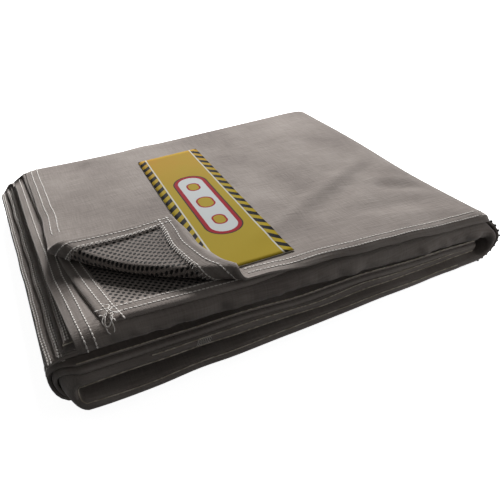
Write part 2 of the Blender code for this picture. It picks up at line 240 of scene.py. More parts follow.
def front_fade(y, start=10.5, run=7.5):
    """0 behind the start, 1 at the front edge: how much a droop is felt at y."""
    return min(1.3, (max(0.0, start - y) / run) ** 2)


def droop(row, x, y):
    """How far a row of the top column hangs down at its front edge and at its left end."""
    hangs = FRONT_HANG_R1 * smooth((x - 95) / 50) if row == "r1" else FRONT_HANG[row]
    from_end = max(0.0, x - knots(TOP_ENDS[row], y))
    return hangs * front_fade(y) + LEFT_HANG[row] * max(0.0, 1 - from_end / LEFT_HANG_RUN) ** 2


def belly(x, y):
    """How far the lowest row of the top column sags below its plane at the front, in the recess."""
    return mix(*BELLY, smooth(x / RIGHT_X)) * smooth((DROOP_RUN - y) / DROOP_RUN)


def loop_open(x, y):
    """How far the two lowest columns stand apart at the front left, where the fold between them gapes."""
    return LOOP_OPEN * smooth(1 - max(0.0, x) / LOOP_RUN) * smooth(1 - (y - 10.0) / 60.0)


def far_centre(column, x):
    return knots(FAR_FOLD, x) + FAR_MORE[column] * smooth(1 - x / RIGHT_X)


def left_end(column, sample, y):
    ends = TOP_ENDS if column == "top" else SECOND_ENDS
    kind, rows, where, _ = sample
    if kind == "row":
        wander = soft_noise(y, 0.0, END_SIZE, "r1r2r3r4".index(rows) + 11.0 * (column == "top"))
        return knots(ends[rows], y) + END_WANDER * wander
    return mix(knots(ends[rows[0]], y), knots(ends[rows[1]], y), where / math.pi)


def column_x(along, sample, y):
    column, share, inset = along
    right = knots(RIGHT_FOLD, y)
    if column in ("top", "second"):
        return mix(left_end(column, sample, y) + inset, right, share)
    if column in ("low", "third"):
        return mix(left_fold(y), right, share)
    return right if column in ("outer", "inner") else left_fold(y)


print("front edges:", FRONT["top"])

# %% [markdown]
# The top layer is never quite flat. Long soft creases are placed where the cloth was last folded or
# pressed, and a faint noise of a few centimetres makes the light wander over it. Each row of the
# table is the middle in x and y, the half length, the half width, the turn in degrees and the height,
# which is negative for a trough.

# %% Creases of the top
CREASES = (
    (206.0, 95.0, 76.0, 7.0, 29.0, 1.7),
    (213.0, 82.0, 66.0, 9.0, 29.0, -1.5),
    (262.0, 70.0, 26.0, 7.0, -25.0, -1.5),
    (262.0, 86.0, 26.0, 8.0, -25.0, 0.9),
    (226.0, 47.0, 36.0, 8.0, -5.0, -1.3),
    (255.0, 24.0, 40.0, 9.0, -15.0, 1.2),
    (46.0, 226.0, 20.0, 9.0, -15.0, -1.6),
    (100.0, 246.0, 16.0, 16.0, 0.0, 1.3),
    (170.0, 12.0, 60.0, 16.0, 0.0, 1.4),
)
DEEPEST, DEEPEST_UNDER = -1.4, -1.1


def creases(x, y, fine=0.12):
    total = 0.4 * soft_noise(x, y, 40.0, 3.0) + fine * soft_noise(x, y, 11.0, 8.0)
    for cx, cy, along, across, turn, height in CREASES:
        c, s = math.cos(math.radians(turn)), math.sin(math.radians(turn))
        u = ((x - cx) * c + (y - cy) * s) / along
        v = (-(x - cx) * s + (y - cy) * c) / across
        total += height * math.exp(-u * u - v * v)
    return max(DEEPEST, total)


def near_hem(x, y):
    """1 over the hems, where the layers lie close together, 0 some way in from them."""
    from_end = x - knots(TOP_ENDS["r4"], y)
    return max(smooth((36.0 - y) / 20.0), smooth((34.0 - from_end) / 20.0))


def top_face(x, y, fine=0.12):
    return plane(4, x, y) - FACE_GAP + creases(x, y, fine) - droop("r1", x, y)


print("creases placed:", len(CREASES))

# %% [markdown]
# `place` gives the canvas face of any spot of the sheet. A spot is named by where it is along the
# length (a column or the fold between two, and a share or an angle) and across the width (a row or
# a fold). Folds are half circles between the two layers that they join.

# %% Where each spot of the sheet lies
WRINKLE_SIZE, WRINKLE_DRIFT, WRINKLE_TURN = 8.0, 2.6, 2.0
LOWER_WRINKLE_SIZE, SAG_ENDS = 24.0, 0.6 * math.pi
LEFT_BACK_FROM, LEFT_BACK_RUN, LEFT_POWER, FOOT_POWER = 6.0, 24.0, 0.8, 0.42
PUCKER = {
    "top": 3.2, "outer": 0.3, "low": 0.35, "left": 0.2, "third": 0.45, "inner": 0.2, "second": 0.4,
}


def place(along, across):
    column, share, _ = along
    kind, rows, where, inset = across
    y = 0.0 if kind == "front" else 0.5 * DEPTH
    x = column_x(along, across, y)
    for _ in range(3):
        if kind == "row":
            name = "fold" if rows in ("r2", "r3") else rows
            front = front_of(column, share, name) + (FOLD_SET if name == "fold" else inset)
            y = mix(front, far_centre(column, x), where)
        elif kind == "far":
            y = far_centre(column, x)
        else:
            y = front_of(column, share, "fold") + FOLD_SET
        x = column_x(along, across, y)

    upper, lower = PLANES[column]
    sagging = {"top": 1.0, "outer": max(0.0, 1 - share / SAG_ENDS)}.get(column, 0.0)

    def layer(over, under):
        """Depth of this row or fold in the column between two planes."""
        thick = plane(over, x, y) - plane(under, x, y)
        sag = belly(x, y) * sagging if over == 4 else 0.0
        if column in ("low", "left", "third"):
            sag = -loop_open(x, y)
        first, second = [
            depth(row, thick) + (sag if row == "r2" else 0.0)
            for row in ((rows, rows) if kind == "row" else rows)
        ]
        if kind == "row":
            return first, 0.0
        return mix(first, second, (1 - math.cos(where)) / 2), abs(second - first) / 2 * math.sin(where)

    down, run = layer(upper, lower)
    if kind == "front":
        size = WRINKLE_SIZE if column == "top" else LOWER_WRINKLE_SIZE
        wrinkle = soft_noise(x + WRINKLE_DRIFT * where, where * WRINKLE_TURN, size, 5.0)
        run += PUCKER[column] * wrinkle * math.sin(where)
    y += run if kind == "far" else -run
    if column == "top":
        if kind == "row":
            ripple = creases(x, y)
            under = min(0.0, max(DEEPEST_UNDER, ripple)) * near_hem(x, y)
            follow = {"r1": ripple, "r4": under, "r3": under, "r2": 0.0}[rows]
            return x, y, plane(4, x, y) - down - droop(rows, x, y) + follow
        hanging = mix(droop(rows[0], x, y), droop(rows[1], x, y), (1 - math.cos(where)) / 2)
        return x, y, plane(4, x, y) - down - hanging
    if column == "second":
        return x, y, plane(2, x, y) + down
    if column == "third":
        return x, y, plane(2, x, y) - down
    if column == "low":
        return x, y, plane(0, x, y) + down
    if column == "outer":
        name = rows if kind == "row" else rows[1]
        high, low = plane(4, x, y) - layer(4, 3)[0] - droop(name, x, y), plane(0, x, y) + layer(1, 0)[0]
    elif column == "left":
        high, low = plane(2, x, y) - layer(2, 1)[0], plane(0, x, y) + layer(1, 0)[0]
    else:
        high, low = plane(2, x, y) + layer(3, 2)[0], plane(2, x, y) - layer(2, 1)[0]
    middle, radius = (high + low) / 2, (high - low) / 2
    if column == "left":
        back = smooth((y + LEFT_BACK_FROM) / LEFT_BACK_RUN)
        power = mix(LEFT_POWER, FOOT_POWER, back) if share < math.pi / 2 else LEFT_POWER
        side = math.sin(share) ** power
        sunk = LOOP_SAG * (1 - back) ** 2 * math.sin(share) ** 2
        return x - radius * mix(LEFT_TAPER, 1.0, back) * side, y, middle - radius * math.cos(share) - sunk
    side = math.cos(share) if column == "outer" else -math.cos(share)
    if column == "outer" and rows == "r4":
        x += RING_BULGE * math.sin(share) * smooth((front_of("outer", share, "r1") - 6.0 - y) / 8.0)
    return x + radius * math.sin(share), y, middle + radius * side


print("front left corner of the top:", place(("top", 0.0, 0.0), ("row", "r4", 0.0, 0.0)))

# %% [markdown]
# The corner of the top layer is turned back. In plan its fold is a bowed line. `to_fold` says how
# far along that line a spot lies and how far past it, counted in fold radii, and `turned` rolls
# everything past the line up and over. The roll is tight on the left and fat at the front, and the
# loose corner curls up a little.

# %% The turned-back corner
FLAP_LEFT, FLAP_FRONT = (-13.5, 111.8), (82.1, 11.4)
FLAP_BOW, FLAP_RADII = 17.9, (5.4, 2.5, 2.8)
FLAP_TURN, FLAP_CURL = math.radians(177.5), 0.0003
FLAP_LIFT, FLAP_RUN = 0.6, 52.0
flap_dx, flap_dy = FLAP_FRONT[0] - FLAP_LEFT[0], FLAP_FRONT[1] - FLAP_LEFT[1]
flap_length = math.hypot(flap_dx, flap_dy)
along_x, along_y = flap_dx / flap_length, flap_dy / flap_length
out_x, out_y = along_y, -along_x


def flap_shape(t):
    t = min(1.0, max(0.0, t))
    left, middle, front = FLAP_RADII
    radius = mix(left, middle, t * 2) if t < 0.5 else mix(middle, front, smooth(t * 2 - 1))
    return FLAP_BOW * 4 * t * (1 - t), radius


def to_fold(x, y):
    dx, dy = x - FLAP_LEFT[0], y - FLAP_LEFT[1]
    t = (dx * along_x + dy * along_y) / flap_length
    bow, radius = flap_shape(t)
    return t, (dx * out_x + dy * out_y - bow) / radius


def from_fold(t, q):
    bow, radius = flap_shape(t)
    s = q * radius + bow
    return (
        FLAP_LEFT[0] + t * flap_length * along_x + s * out_x,
        FLAP_LEFT[1] + t * flap_length * along_y + s * out_y,
    )


def turned(x, y, z):
    t, q = to_fold(x, y)
    radius = flap_shape(t)[1]
    inside = min(1.0, max(0.0, t))
    lift = 0.0
    if -0.15 < t < 1.15:
        lift = FLAP_LIFT * (0.35 + 2.6 * inside * (1 - inside)) * smooth(1 + q * radius / FLAP_RUN)
    if q <= 0:
        return x, y, z + lift
    base_x, base_y = from_fold(t, 0.0)
    angle = min(q, FLAP_TURN)
    past, up = radius * math.sin(angle), radius * (1 - math.cos(angle))
    rest = (q - FLAP_TURN) * radius
    if rest > 0:
        last = FLAP_TURN - FLAP_CURL * rest
        past += (math.sin(FLAP_TURN) - math.sin(last)) / FLAP_CURL
        up += (math.cos(last) - math.cos(FLAP_TURN)) / FLAP_CURL
    return base_x + past * out_x, base_y + past * out_y, top_face(base_x, base_y) + lift + up


print("corner fold", round(flap_length), "mm long")

# %% [markdown]
# The sheet is sampled more closely where it is seen: over each hem, across the top, around the
# folds. `hemmed` lists the samples over a hem by their distance in from the edge, so the two rows
# of stitching and the step at the hem's inner edge each fall on a line of the mesh.

# %% Sampling the sheet
STITCH_INSETS, LOWER_STITCH_INSETS = (4.6, 9.4), (1.4, 2.8)
HEM_INSETS = (0.0, 0.5, 1.4, 2.8, 3.8, 4.6, 5.6, 7.4, 8.6, 9.4, 10.4, HEM_WIDTH)
PAST_HEM = HEM_WIDTH + HEM_STEP


def spread(*stretches):
    """Shares from 0 to 1: each stretch is (end, how many steps)."""
    found, start = [0.0], 0.0
    for end, steps in stretches:
        found += [mix(start, end, (k + 1) / steps) for k in range(steps)]
        start = end
    return found


def hemmed(name, steps):
    return [(name, 0.0, inset) for inset in HEM_INSETS] + [(name, t, PAST_HEM) for t in steps]


def arc(name, steps):
    return [(name, math.pi * k / steps, 0.0) for k in range(1, steps)]


def flat(name, steps):
    return [(name, t, 0.0) for t in steps]


lengths = hemmed("top", spread((0.42, 36), (0.97, 44), (1.0, 4)))
lengths += arc("outer", 14) + flat("low", spread((1.0, 50)))[::-1] + arc("left", 12)
lengths += flat("third", spread((1.0, 46))) + arc("inner", 10)
lengths += hemmed("second", spread((1.0, 40)))[::-1]

inner_row = spread((0.03, 3), (0.12, 3), (0.9, 6), (1.0, 2))
widths = [("row", *s) for s in hemmed("r1", spread((0.5, 32), (1.0, 17)))]
widths += [("far", ("r1", "r2"), angle, 0.0) for _, angle, _ in arc("far", 9)]
widths += [("row", *s) for s in flat("r2", inner_row)[::-1]]
widths += [("front", ("r2", "r3"), angle, 0.0) for _, angle, _ in arc("front", 12)]
widths += [("row", *s) for s in flat("r3", inner_row)]
widths += [("far", ("r3", "r4"), angle, 0.0) for _, angle, _ in arc("far", 6)]
widths += [("row", *s) for s in hemmed("r4", spread((0.5, 26), (1.0, 8)))[::-1]]
print("sheet grid:", len(lengths), "x", len(widths))

points = np.array([[place(along, across) for across in widths] for along in lengths])


def flat_distance(axis, ramp_from, ramp_to):
    """Distance over the cloth along one axis of the grid, measured in from both of its edges."""
    steps = np.linalg.norm(np.diff(points, axis=axis), axis=2)
    steps = steps if axis == 0 else steps.T
    from_start = np.vstack([np.zeros(steps.shape[1]), np.cumsum(steps, axis=0)])
    whole = from_start[-1].mean()
    from_end = whole - (from_start[-1] - from_start)
    ramp = np.clip((np.arange(len(from_start)) - ramp_from) / (ramp_to - ramp_from), 0, 1)[:, None]
    blended = from_start * (1 - ramp) + from_end * ramp
    return (blended if axis == 0 else blended.T), whole


low_column = [i for i, along in enumerate(lengths) if along[0] == "low"]
r2_row = [j for j, across in enumerate(widths) if across[0] == "row" and across[1] == "r2"]
flat_u, long_side = flat_distance(0, low_column[0], low_column[-1])
flat_v, short_side = flat_distance(1, r2_row[0], r2_row[-1])
print("sheet unfolds to", round(long_side), "x", round(short_side), "mm")

# %% [markdown]
# The grid becomes one open surface, the canvas face. It carries three things: a UV map in metres of
# flat cloth, so the weave and the dots follow the folds, the share of hem, which sets the thickness,
# and a wear value that is 1 on the very edge of a hem. Hem faces use the two last material slots,
# because a hem is turned over and shows canvas on both sides.

# %% The open sheet
CANVAS, DOTTED, HEM_FRONT, HEM_BACK = range(4)
TOP_ROW = ("row", "r1", 0.5, 0.0)
FLAP_CUTS = [k / 14 for k in range(15)] + [-0.25, -0.1, 1.1, 1.3, 1.6]


def edge_distance(column, share, sample, x, y):
    """How far a spot lies in from the nearest cut edge, in mm."""
    kind, rows = sample[:2]
    inside = 50.0
    if column in ("top", "second"):
        inside = x - left_end(column, sample, y)
    if kind == "row" and rows in ("r1", "r4"):
        inside = min(inside, y - front_of(column, share, rows))
    return inside


def is_hem(along, across):
    left = along[0] in ("top", "second") and along[1] == 0.0 and along[2] < HEM_WIDTH - 0.1
    front = across[0] == "row" and across[2] == 0.0 and across[3] < HEM_WIDTH - 0.1
    return left or (front and across[1] in ("r1", "r4"))


sheet_mesh = bmesh.new()
flat_map = sheet_mesh.loops.layers.uv.new("flat")
inside_layer = sheet_mesh.verts.layers.float.new("inside")
grid, plan = [], {}
for i, along in enumerate(lengths):
    line = []
    for j, across in enumerate(widths):
        vert = sheet_mesh.verts.new(points[i, j])
        vert[inside_layer] = edge_distance(along[0], along[1], across, points[i, j, 0], points[i, j, 1])
        if along[0] == "top" and across[1] == "r1":
            plan[vert] = (points[i, j, 0], points[i, j, 1])
        line.append(vert)
    grid.append(line)

for i in range(len(lengths) - 1):
    for j in range(len(widths) - 1):
        ring = ((i, j), (i + 1, j), (i + 1, j + 1), (i, j + 1))
        face = sheet_mesh.faces.new([grid[a][b] for a, b in ring])
        for loop, (a, b) in zip(face.loops, ring):
            loop[flat_map].uv = (flat_u[a, b] * MM, flat_v[a, b] * MM)
        across = widths[j] if widths[j][-1] <= widths[j + 1][-1] else widths[j + 1]
        along = lengths[i] if lengths[i][-1] <= lengths[i + 1][-1] else lengths[i + 1]
        if lengths[i][2] == lengths[i + 1][2] == 0.0:
            along = (along[0], 1.0, 0.0)
        if widths[j][3] == widths[j + 1][3] == 0.0:
            across = (across[0], across[1], 1.0, 0.0)
        face.material_index = HEM_FRONT if is_hem(along, across) else CANVAS
        if along[0] in ("outer", "low") and across[1] == "r4":
            face.material_index = CANVAS
print("open sheet:", len(sheet_mesh.faces), "faces")

# %% [markdown]
# The corner is folded in two steps. First its faces are laid out flat with the fold as a straight
# line and cut along lines parallel to it, which puts enough mesh where the roll will be. Then every
# point is carried to its place by `turned`.

# %% Turning the corner back
FLAP_REACH = (126, 136)
near = [
    f for f in sheet_mesh.faces
    if all(v in plan and plan[v][0] < FLAP_REACH[0] and plan[v][1] < FLAP_REACH[1] for v in f.verts)
]
laid_flat = set(plan)
for vert in laid_flat:
    t, q = to_fold(*plan[vert])
    vert.co = (t * 100.0, q * 10.0, 0.0)


def close_by(vert):
    """Whether a point that is laid flat is near enough to the fold to be cut."""
    if vert not in laid_flat or not -60 < vert.co.x < 160 or abs(vert.co.y) >= 400:
        return False
    x, y = from_fold(vert.co.x / 100, vert.co.y / 10)
    return x < FLAP_REACH[0] + 0.5 and y < FLAP_REACH[1] + 0.5


for cut in FLAP_CUTS:
    kept = set(sheet_mesh.verts)
    parts = list({v for f in near for v in f.verts}) + list({e for f in near for e in f.edges}) + near
    bmesh.ops.bisect_plane(
        sheet_mesh, geom=parts, dist=0.02,
        plane_co=(0, cut * FLAP_TURN * 10.0, 0), plane_no=(0, 1, 0),
    )
    laid_flat |= set(sheet_mesh.verts) - kept
    near = [f for f in sheet_mesh.faces if all(map(close_by, f.verts))]
for vert in laid_flat:
    x, y = from_fold(vert.co.x / 100.0, vert.co.y / 10.0)
    vert.co = turned(x, y, top_face(x, y))
    left = left_end("top", TOP_ROW, y)
    share = (x - left) / (knots(RIGHT_FOLD, y) - left)
    vert[inside_layer] = edge_distance("top", share, TOP_ROW, x, y)
print("after the corner's cuts:", len(sheet_mesh.faces), "faces")

# %% [markdown]
# Solidify gives the cloth its thickness towards the dotted side. The vertex group makes it 2.1 mm
# over the hems, where the canvas lies double, and 1.2 mm elsewhere. The outermost half millimetre
# is thinner again, so a hem ends in a soft rounded edge.

# %% Thickness of the cloth
weights, wear = [], []
for vert in sheet_mesh.verts:
    inside = vert[inside_layer]
    single = CLOTH / HEM
    full = single + (1 - single) * (1 - min(1.0, max(0.0, (inside - HEM_WIDTH) / HEM_STEP)))
    weights.append(full * (0.5 + 0.5 * smooth(inside / 1.0)))
    wear.append(1.0 - smooth(inside / 1.6))
    vert.co = world(*vert.co)
sheet_data = bpy.data.meshes.new("drop cloth")
sheet_mesh.to_mesh(sheet_data)
sheet_mesh.free()
sheet_data.attributes.remove(sheet_data.attributes["inside"])
worn = sheet_data.attributes.new("wear", "FLOAT", "POINT")
worn.data.foreach_set("value", wear)
for poly in sheet_data.polygons:
    poly.use_smooth = True
cloth = placed("drop_cloth", sheet_data)
group = cloth.vertex_groups.new(name="hem")
for i, weight in enumerate(weights):
    group.add([i], weight, "REPLACE")
thicken = cloth.modifiers.new("cloth thickness", "SOLIDIFY")
thicken.thickness = HEM * MM
thicken.offset = -1.0
thicken.use_even_offset = False
thicken.vertex_group = "hem"
thicken.thickness_vertex_group = 0.0
thicken.material_offset = 1
thicken.material_offset_rim = 0


def made_mesh(obj, name):
    """The object with its modifiers applied, as a new plain mesh object in its place."""
    bpy.context.view_layer.update()
    whole = bpy.data.meshes.new_from_object(obj.evaluated_get(bpy.context.evaluated_depsgraph_get()))
    obj.modifiers.clear()
    bpy.data.objects.remove(obj)
    return placed(name, whole)


def bare_materials(*names):
    return [bpy.data.materials.new(name) for name in names]


canvas, dotted_back, hem_canvas, hem_back = bare_materials(
    "cotton canvas", "canvas with vinyl dots", "hemmed canvas", "hemmed canvas, back"
)
for made in (canvas, dotted_back, hem_canvas, hem_back):
    cloth.data.materials.append(made)
cloth = made_mesh(cloth, "drop_cloth")
print("closed cloth:", len(cloth.data.polygons), "faces")

# %% [markdown]
# The card lies on the cloth near the folded corner, which covers its lower left edge. It is thin
# printed card, so it takes the broad shape of the cloth below, not its fine wrinkles.

# %% The printed card
CARD_THICK, CARD_GAP = 0.45, 0.4
CARD_NEAR = ((69.5, 15.5), (127.5, 19.5))
CARD_FAR = ((86.0, 212.5), (144.0, 218.0))
CARD_WIDE, CARD_LONG = 0.058, 0.199
card_mesh = bmesh.new()
card_map = card_mesh.loops.layers.uv.new("card")
CELLS_ACROSS, CELLS_ALONG = 14, 46
card_grid = {}
for j in range(CELLS_ALONG + 1):
    for i in range(CELLS_ACROSS + 1):
        s, t = i / CELLS_ACROSS, j / CELLS_ALONG
        x, y = [
            mix(mix(CARD_NEAR[0][k], CARD_NEAR[1][k], s), mix(CARD_FAR[0][k], CARD_FAR[1][k], s), t)
            for k in (0, 1)
        ]
        z = turned(x, y, top_face(x, y, 0.0))[2] + CARD_GAP
        card_grid[i, j] = card_mesh.verts.new(world(x, y, z))
for j in range(CELLS_ALONG):
    for i in range(CELLS_ACROSS):
        ring = ((i, j), (i + 1, j), (i + 1, j + 1), (i, j + 1))
        face = card_mesh.faces.new([card_grid[spot] for spot in ring])
        face.smooth = True
        for loop, (a, b) in zip(face.loops, ring):
            loop[card_map].uv = (a / CELLS_ACROSS * CARD_WIDE, b / CELLS_ALONG * CARD_LONG)
card_data = bpy.data.meshes.new("card")
card_mesh.to_mesh(card_data)
card_mesh.free()
card = placed("card_label", card_data)
card_thicken = card.modifiers.new("card thickness", "SOLIDIFY")
card_thicken.thickness = CARD_THICK * MM
card_thicken.offset = 1.0
card_print, card_edge = bare_materials("printed card", "card edge")
card.data.materials.append(card_print)
card.data.materials.append(card_edge)
card_thicken.material_offset_rim = 1
card = made_mesh(card, "card_label")
print("card:", len(card.data.polygons), "faces")

# %% [markdown]
# Shaders are built from small node trees. `add` makes one node, sets its properties (a bare word is
# its operation) and fills its inputs: a socket is linked, a node stands for its first output, and
# anything else becomes the input's own value. Colours are written as the hex values one would pick
# on a screen and turned to linear light once, by `paint`.

# %% Shader helpers
MATH, VECTOR_MATH, MIX = "ShaderNodeMath", "ShaderNodeVectorMath", "ShaderNodeMix"
MAP_RANGE, NOISE = "ShaderNodeMapRange", "ShaderNodeTexNoise"
COLOUR = {"data_type": "RGBA"}


def add(tree, kind, settings=None, inputs=None):
    node = tree.nodes.new(kind)
    if isinstance(settings, str):
        settings = {"operation": settings}
    for name, value in (settings or {}).items():
        setattr(node, name, value)
    for name, value in (inputs or {}).items():
        if isinstance(value, bpy.types.Node):
            value = value.outputs[0]
        if isinstance(value, bpy.types.NodeSocket):
            tree.links.new(value, node.inputs[name])
        else:
            node.inputs[name].default_value = value
    return node


def paint(code):
    channels = [int(code[i:i + 2], 16) / 255 for i in (1, 3, 5)]
    linear = [c / 12.92 if c <= 0.04045 else ((c + 0.055) / 1.055) ** 2.4 for c in channels]
    return (*linear, 1.0)


def fresh(material, values):
    """The material's tree, emptied, and its new shader with these values set on it."""
    material.use_nodes = True
    tree = material.node_tree
    tree.nodes.clear()
    shader = add(tree, "ShaderNodeBsdfPrincipled", inputs=values)
    add(tree, "ShaderNodeOutputMaterial", inputs={"Surface": shader})
    return tree, shader


print("warm grey in linear light:", [round(c, 3) for c in paint("#8C8580")[:3]])

# %% [markdown]
# Two rows of off-white lockstitch run round every hem, and the turned edge of the hem is overlocked
# with a zigzag on its back. A seam is a line of points on the cloth with the cloth's outward
# direction at each one. On the top layer the points are taken every millimetre with `on_top`,
# elsewhere they follow the lines of the sheet's grid. Thin pale lines are laid in the same way along
# the folds of the lower layers: a painted highlight, where the fold edges catch the light.

# %% Where the seams run
along_u = np.gradient(points, axis=0)
along_v = np.gradient(points, axis=1)
outward = np.cross(along_u, along_v)
outward /= np.linalg.norm(outward, axis=2)[:, :, None]


def unit(v):
    return v / np.linalg.norm(v)


def on_top(x, y):
    """Place and outward direction of the canvas side of the top layer, folded corner included."""
    here = np.array(turned(x, y, top_face(x, y)))
    right = np.array(turned(x + 0.2, y, top_face(x + 0.2, y))) - here
    back = np.array(turned(x, y + 0.2, top_face(x, y + 0.2))) - here
    return here, unit(np.cross(right, back))


def pick(samples, name, inset):
    """Index of the sample that runs along a hem at this inset."""
    return next(k for k, s in enumerate(samples) if name in s[:2] and abs(s[-1] - inset) < 0.01)


def behind(line):
    """The same seam on the dotted side of the hem."""
    return [(spot - out * HEM, -out) for spot, out in line]


def by_left(inset, y):
    """A spot near the left hem of the top layer, at an inset from its edge."""
    return on_top(left_end("top", TOP_ROW, y) + inset, y)


def by_front(inset, x):
    """The same near the front hem, whose edge is given by its share of the hem's length."""
    share = min(1.0, max(0.0, (x + 14) / 300))
    return on_top(x, front_of("top", share, "r1") + inset)


def top_seam(edge, inset, start, end):
    return [edge(inset, float(mm)) for mm in range(start, end + 1)]


def grid_seam_v(name, inset, rows):
    """A seam along a side hem of the grid: one column of samples, over the named rows."""
    i = pick(lengths, name, inset)
    return [(points[i, j], outward[i, j]) for j, across in enumerate(widths) if across[1] in rows]


def grid_line(j, columns, first=None, last=None):
    """One line of the grid along the front, over the named columns."""
    found = [i for i, along in enumerate(lengths) if along[0] in columns]
    return [(points[i, j], outward[i, j]) for i in found[first:last]]


def grid_seam_u(row, inset, columns, first=None, last=None):
    """A seam along a front hem of the grid, over the named columns."""
    return grid_line(pick(widths, row, inset), columns, first, last)


seams = []
for inset in STITCH_INSETS:
    seams += [
        top_seam(by_left, inset, 113, 248), top_seam(by_front, inset, 90, 282),
        behind(top_seam(by_left, inset, 3, 112)), behind(top_seam(by_front, inset, -10, 96)),
        grid_seam_v("top", inset, ("r3", ("r2", "r3"))), behind(grid_seam_v("top", inset, ("r4",))),
        behind(grid_seam_u("r4", inset, ("top",))),
    ]
for inset in LOWER_STITCH_INSETS:
    seams += [grid_seam_v("second", inset, ("r2",)), grid_seam_v("second", inset, ("r4",))]
    seams.append(behind(grid_seam_v("second", inset, ("r1",))))
for inset in STITCH_INSETS:
    seams += [grid_seam_u("r1", inset, ("left",), 3), grid_seam_u("r1", inset, ("outer",), 0, -3)]

front_lines = [j for j, across in enumerate(widths) if across[0] == "front"]
under_fold, over_fold = front_lines[2], front_lines[8]
# Lines along the fold edges of the lower layers, drawn pale later as a painted highlight where the edges
# catch the light.
painted_fold_highlights = [grid_line(under_fold, ("low", "left", "third"), 4), grid_line(over_fold, ("third",), 6)]
painted_fold_highlights += [grid_seam_u("r1", 0.0, ("third",)), grid_line(under_fold, ("second",))]

ZIG_INSETS, ZIG_STEP, ZIG_COUNT = (11.6, 9.9), 1.3, 74


def zigzag(edge, start):
    """Overlock over the turned edge of a hem: the line swings between two insets, on the back."""
    return behind([edge(ZIG_INSETS[k % 2], start + ZIG_STEP * k) for k in range(ZIG_COUNT)])


def bartack(share, angle):
    """A tight bar of zigzag over the front of the third column, where a seam was locked."""
    found = []
    for k in range(15):
        swing = angle + 0.5 * (k % 2)
        spot = place(("third", share + 0.002 * k, 0.0), ("front", ("r2", "r3"), swing, 0.0))
        found.append((np.array(spot), np.array((0.0, -1.0, 0.0))))
    return found


overlock = [zigzag(by_left, 12.0), zigzag(by_front, -2.0)]
overlock += [bartack(0.218, 0.9), bartack(0.22, 1.4), bartack(0.222, 1.9)]
print("seams:", len(seams), "with", sum(map(len, seams)), "points")

# %% [markdown]
# Geometry Nodes sew the seams: the line is resampled at the stitch length, and a small flattened
# bead of thread is set on every point, turned along the line and laid on the cloth. The zigzag and
# the loose thread ends are lines with a thin round section.

# %% Thread trees
STITCH_STEP, STITCH_LENGTH, THREAD_WIDE, THREAD_HIGH = 2.6, 2.75, 1.0, 0.55


def seam_lines(name, lines, lift):
    """A mesh of edges only, lifted off the cloth, with the outward direction stored on its points."""
    spots, edges, outs = [], [], []
    for line in lines:
        for k, (spot, out) in enumerate(line):
            if k:
                edges.append((len(spots) - 1, len(spots)))
            spots.append(world(*(spot + out * lift)))
            outs.append(tuple(out))
    mesh = bpy.data.meshes.new(name)
    mesh.from_pydata(spots, edges, [])
    stored = mesh.attributes.new("out", "FLOAT_VECTOR", "POINT")
    stored.data.foreach_set("vector", np.array(outs).ravel())
    return placed(name, mesh)


def start_tree(name, **sizes):
    tree = bpy.data.node_groups.new(name, "GeometryNodeTree")
    tree.interface.new_socket("Geometry", in_out="INPUT", socket_type="NodeSocketGeometry")
    for label, value in sizes.items():
        made = tree.interface.new_socket(label, in_out="INPUT", socket_type="NodeSocketFloat")
        made.default_value = value
    tree.interface.new_socket("Geometry", in_out="OUTPUT", socket_type="NodeSocketGeometry")
    return tree, tree.nodes.new("NodeGroupInput")


def end_tree(tree, shape, material):
    """Realize Instances and Set Material close every tree, because instances aren't exported."""
    real = add(tree, "GeometryNodeRealizeInstances", inputs={0: shape})
    finish = add(tree, "GeometryNodeSetMaterial", inputs={0: real, "Material": material})
    add(tree, "NodeGroupOutput", inputs={0: finish})


def grow(obj, tree, name, **sizes):
    """Runs the tree on the object and keeps the result as a plain mesh."""
    modifier = obj.modifiers.new(tree.name, "NODES")
    modifier.node_group = tree
    for item in tree.interface.items_tree:
        if item.in_out == "INPUT" and item.name in sizes:
            modifier[item.identifier] = sizes[item.name]
    return made_mesh(obj, name)


# %% [markdown]
# The sewing thread is a spun polyester, off-white and slightly glossy where it is pulled tight.

# %% Sewing the seams
thread, ring_vinyl = bare_materials("off-white sewing thread", "black vinyl dots")


def bead_tree(name, material):
    """A flattened bead of the given material every Step along each line, lying on the cloth."""
    tree, group_in = start_tree(name, Step=0.003, Length=0.0025, Width=0.0008, Height=0.0005)
    line = add(tree, "GeometryNodeMeshToCurve", inputs={0: group_in.outputs["Geometry"]})
    even = add(
        tree, "GeometryNodeResampleCurve", {"mode": "LENGTH"},
        {"Curve": line, "Length": group_in.outputs["Step"]},
    )
    tangent = add(tree, "GeometryNodeInputTangent")
    along_line = add(tree, "FunctionNodeAlignRotationToVector", {"axis": "X"}, {"Vector": tangent})
    out = add(tree, "GeometryNodeInputNamedAttribute", {"data_type": "FLOAT_VECTOR"}, {"Name": "out"})
    laid = add(
        tree, "FunctionNodeAlignRotationToVector", {"axis": "Z", "pivot_axis": "X"},
        {"Rotation": along_line, "Vector": out},
    )
    bead = add(tree, "GeometryNodeMeshUVSphere", inputs={"Segments": 6, "Rings": 4, "Radius": 0.5})
    size = add(
        tree, "ShaderNodeCombineXYZ",
        inputs={0: group_in.outputs["Length"], 1: group_in.outputs["Width"], 2: group_in.outputs["Height"]},
    )
    shaped = add(tree, "GeometryNodeTransform", inputs={"Geometry": bead, "Scale": size})
    smooth_bead = add(tree, "GeometryNodeSetShadeSmooth", inputs={0: shaped})
    beads = add(
        tree, "GeometryNodeInstanceOnPoints",
        inputs={"Points": even, "Instance": smooth_bead, "Rotation": laid},
    )
    end_tree(tree, beads, material)
    return tree


stitches = grow(
    seam_lines("seams", seams, 0.12), bead_tree("lockstitch", thread), "seam_stitches",
    Step=STITCH_STEP * MM, Length=STITCH_LENGTH * MM, Width=THREAD_WIDE * MM, Height=THREAD_HIGH * MM,
)
print("stitches:", len(stitches.data.polygons), "faces")

